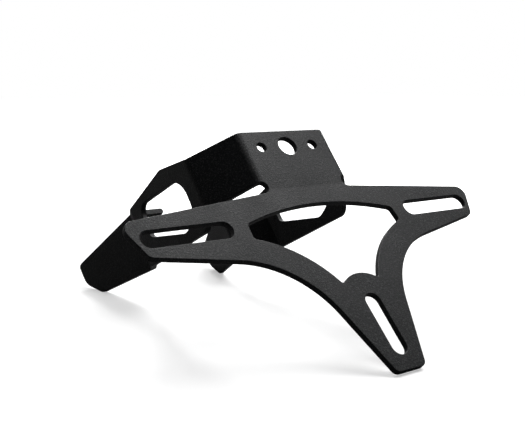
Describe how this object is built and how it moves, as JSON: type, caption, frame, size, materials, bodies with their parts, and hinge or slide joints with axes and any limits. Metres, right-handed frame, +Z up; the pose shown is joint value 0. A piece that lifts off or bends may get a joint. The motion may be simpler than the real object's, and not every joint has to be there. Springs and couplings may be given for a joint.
{
  "type": "tail tidy",
  "caption": "Folded sheet number-plate bracket with slotted arms, an open middle, a drilled light tab and windowed side panels that end in plain legs.",
  "frame": {"origin": "middle of the footprint on the floor, with the part resting on its tail tip and leg tips as in the picture", "axes": "+X across, +Y towards the legs, +Z up; the plate's face looks towards -Y and up"},
  "size_m": [0.2034, 0.2296, 0.0979],
  "materials": {
    "powder_coat": "black powder coat with a fine grain"
  },
  "bodies": {
    "root": {"tail_tidy_bracket": "powder_coat"}
  },
  "joints": []
}
